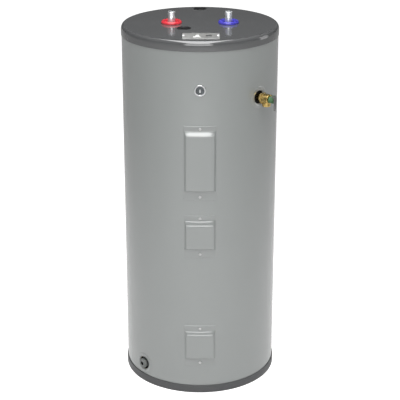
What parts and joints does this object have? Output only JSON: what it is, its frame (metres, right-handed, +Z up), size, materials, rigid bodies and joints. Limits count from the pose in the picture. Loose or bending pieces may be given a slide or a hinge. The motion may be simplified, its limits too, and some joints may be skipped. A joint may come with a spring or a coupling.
{
  "type": "tank water heater",
  "caption": "Floor-standing electric tank water heater with access panels, pipe nipples, relief valve and drain valve.",
  "frame": {"origin": "on the floor under the middle of the tank, at the centre of the base pan", "axes": "+Z up, front with the access panels towards -Y, +X to the right seen from the front"},
  "size_m": [0.573, 0.5773, 1.378],
  "materials": {
    "jacket_paint": "satin",
    "cap_paint": "gloss",
    "badge_metal": "satin",
    "tank_steel": "satin",
    "foam": "matte",
    "galvanised": "satin",
    "screw_steel": "satin",
    "brass": "satin",
    "copper": "satin",
    "magnesium": "matte",
    "black_plastic": "satin",
    "grey_plastic": "satin",
    "white_plastic": "satin",
    "green_plastic": "satin",
    "red_plastic": "gloss",
    "blue_plastic": "gloss",
    "black_foam": "matte",
    "insulation": "matte",
    "wire": "satin"
  },
  "bodies": {
    "heater": {"jacket": "jacket_paint", "top_cap": "cap_paint", "base_pan": "cap_paint", "badge": "badge_metal", "tank": "tank_steel", "foam_insulation": "foam", "dip_tube": "grey_plastic", "anode_rod": "magnesium", "hot_water_nipple": "galvanised", "cold_water_nipple": "galvanised", "hot_nipple_ring": "red_plastic", "cold_nipple_ring": "blue_plastic", "anode_access_plug": "black_plastic", "foam_port_plug": "black_plastic", "junction_box": "galvanised", "ground_screw": "green_plastic", "upper_heating_element": "copper", "middle_heating_element": "copper", "lower_heating_element": "copper", "upper_thermostat": "black_plastic", "middle_thermostat": "black_plastic", "lower_thermostat": "black_plastic", "high_limit_switch": "black_plastic", "supply_wiring": "wire", "middle_wiring": "wire", "lower_wiring": "wire", "relief_valve_dam": "black_foam", "relief_valve_collar": "jacket_paint", "relief_valve_body": "brass", "relief_valve_bonnet": "green_plastic", "relief_lever_pin": "screw_steel", "relief_valve_probe": "copper", "drain_valve_dam": "black_foam", "drain_valve_collar": "jacket_paint", "drain_valve_body": "grey_plastic"},
    "upper_hatch": {"upper_access_panel": "jacket_paint", "upper_insulation_pad": "insulation", "upper_panel_top_screw": "screw_steel", "upper_panel_bottom_screw": "screw_steel"},
    "middle_hatch": {"middle_access_panel": "jacket_paint", "middle_insulation_pad": "insulation", "middle_panel_top_screw": "screw_steel", "middle_panel_bottom_screw": "screw_steel"},
    "lower_hatch": {"lower_access_panel": "jacket_paint", "lower_insulation_pad": "insulation", "lower_panel_top_screw": "screw_steel", "lower_panel_bottom_screw": "screw_steel"},
    "wiring_cover": {"junction_box_cover": "galvanised", "left_cover_screw": "screw_steel", "right_cover_screw": "screw_steel"},
    "upper_dial": {"upper_thermostat_dial": "white_plastic"},
    "middle_dial": {"middle_thermostat_dial": "white_plastic"},
    "lower_dial": {"lower_thermostat_dial": "white_plastic"},
    "reset_button": {"reset_button": "red_plastic"},
    "relief_lever": {"relief_valve_lever": "screw_steel"},
    "relief_stem": {"relief_valve_stem": "brass", "relief_valve_spring": "screw_steel"},
    "drain_stem": {"drain_valve_stem": "grey_plastic"},
    "drain_knob": {"drain_valve_knob": "grey_plastic"}
  },
  "joints": [
    {"name": "upper_panel_removal", "type": "slide", "parent": "heater", "child": "upper_hatch", "axis": [0, -1, 0], "range_m": [0, 0.15]},
    {"name": "middle_panel_removal", "type": "slide", "parent": "heater", "child": "middle_hatch", "axis": [0, -1, 0], "range_m": [0, 0.15]},
    {"name": "lower_panel_removal", "type": "slide", "parent": "heater", "child": "lower_hatch", "axis": [0, -1, 0], "range_m": [0, 0.15]},
    {"name": "wiring_cover_removal", "type": "slide", "parent": "heater", "child": "wiring_cover", "axis": [0, 0, 1], "range_m": [0, 0.12]},
    {"name": "upper_dial_turn", "type": "hinge", "parent": "heater", "child": "upper_dial", "pos_m": [0.012, -0.256, 0.916], "axis": [0, -1, 0], "range_deg": [-180, 90]},
    {"name": "middle_dial_turn", "type": "hinge", "parent": "heater", "child": "middle_dial", "pos_m": [0.012, -0.256, 0.65375], "axis": [0, -1, 0], "range_deg": [-180, 90]},
    {"name": "lower_dial_turn", "type": "hinge", "parent": "heater", "child": "lower_dial", "pos_m": [0.012, -0.256, 0.21775], "axis": [0, -1, 0], "range_deg": [-180, 90]},
    {"name": "reset_button_press", "type": "slide", "parent": "heater", "child": "reset_button", "axis": [0, 1, 0], "range_m": [0, 0.0025], "stiffness_N_per_m": 800, "springref_m": -0.0005},
    {"name": "relief_lever_lift", "type": "hinge", "parent": "heater", "child": "relief_lever", "pos_m": [0.25171, -0.23227, 1.1308], "axis": [-0.6782, -0.7349, 0], "range_deg": [0, 80], "stiffness_Nm_per_rad": 0.3, "springref_deg": -8.59},
    {"name": "relief_stem_lift", "type": "slide", "parent": "heater", "child": "relief_stem", "axis": [0.7349, -0.6782, 0], "range_m": [0, 0.0035]},
    {"name": "drain_knob_turn", "type": "hinge", "parent": "drain_stem", "child": "drain_knob", "pos_m": [-0.21411, -0.1881, 0.074], "axis": [-0.7513, -0.66, 0], "range_deg": [0, 540]},
    {"name": "drain_stem_travel", "type": "slide", "parent": "heater", "child": "drain_stem", "axis": [-0.7513, -0.66, 0], "range_m": [0, 0.006]}
  ],
  "couplings": [
    {"joint": "relief_stem_lift", "follows": "relief_lever_lift", "m_per_rad": 0.0025},
    {"joint": "drain_stem_travel", "follows": "drain_knob_turn", "m_per_rad": 0.000636}
  ]
}
